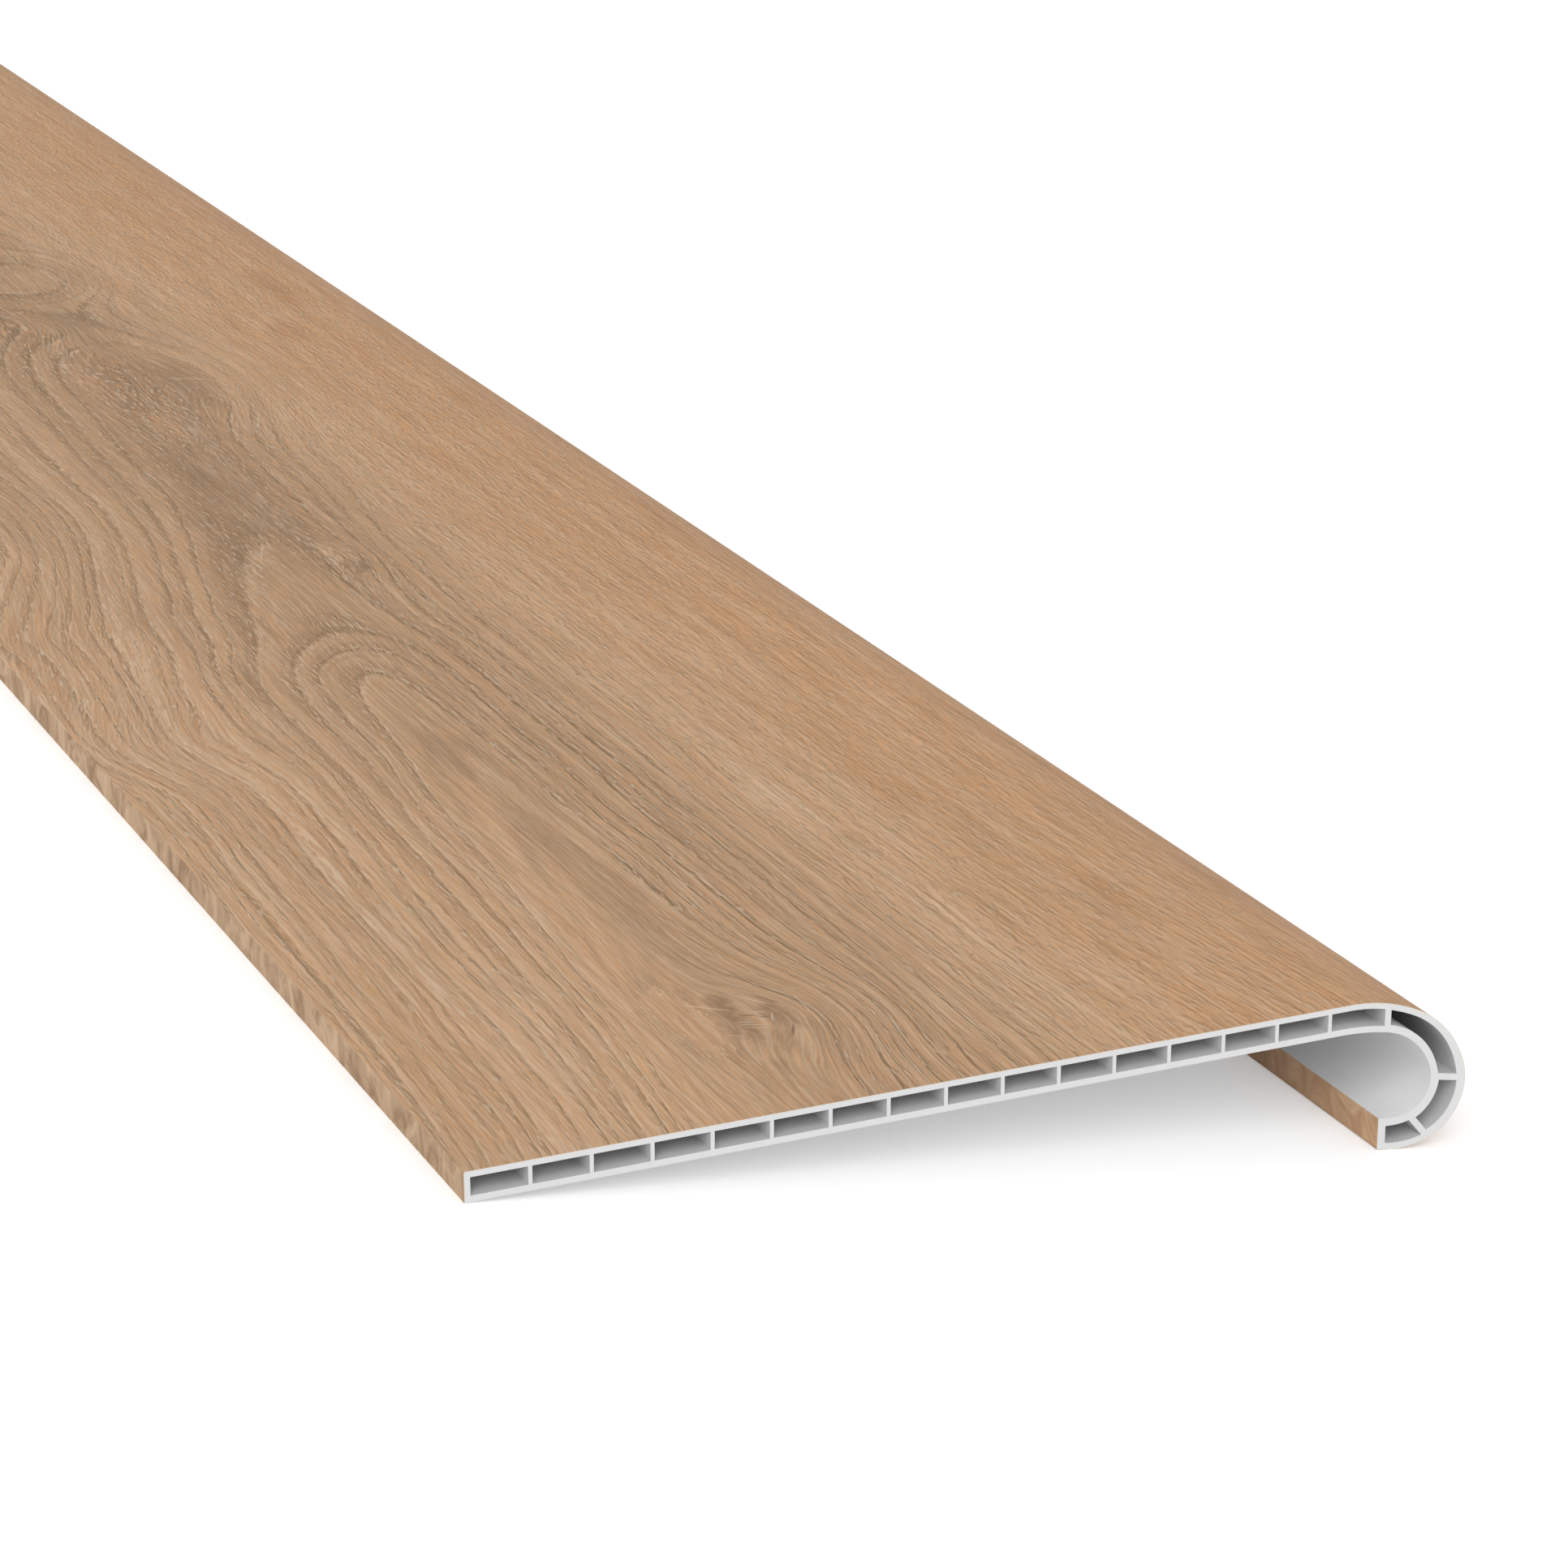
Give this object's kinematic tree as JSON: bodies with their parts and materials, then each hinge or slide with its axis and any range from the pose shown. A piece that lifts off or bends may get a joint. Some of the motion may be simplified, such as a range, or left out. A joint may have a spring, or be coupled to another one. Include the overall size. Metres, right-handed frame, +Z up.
{
  "type": "stair tread",
  "caption": "Hollow PVC stair tread cover with a wood-look film and a rounded nose that hooks over the edge of a step.",
  "frame": {"origin": "on the floor under the middle of the tread, halfway along it and halfway from its back edge to its nose", "axes": "+X along the tread, -Y towards the nose, +Z up. The tread lies right side up on a level floor, on the underside of its nose and its lower back edge, so its flat top rises 7.8 degrees towards the nose."},
  "size_m": [1.829, 0.3094, 0.0458],
  "materials": {
    "tread": "embossed oak-look film on the top, nose, back edge and tip, bare light grey PVC elsewhere"
  },
  "bodies": {
    "root": {"stair_tread": "tread"}
  },
  "joints": []
}
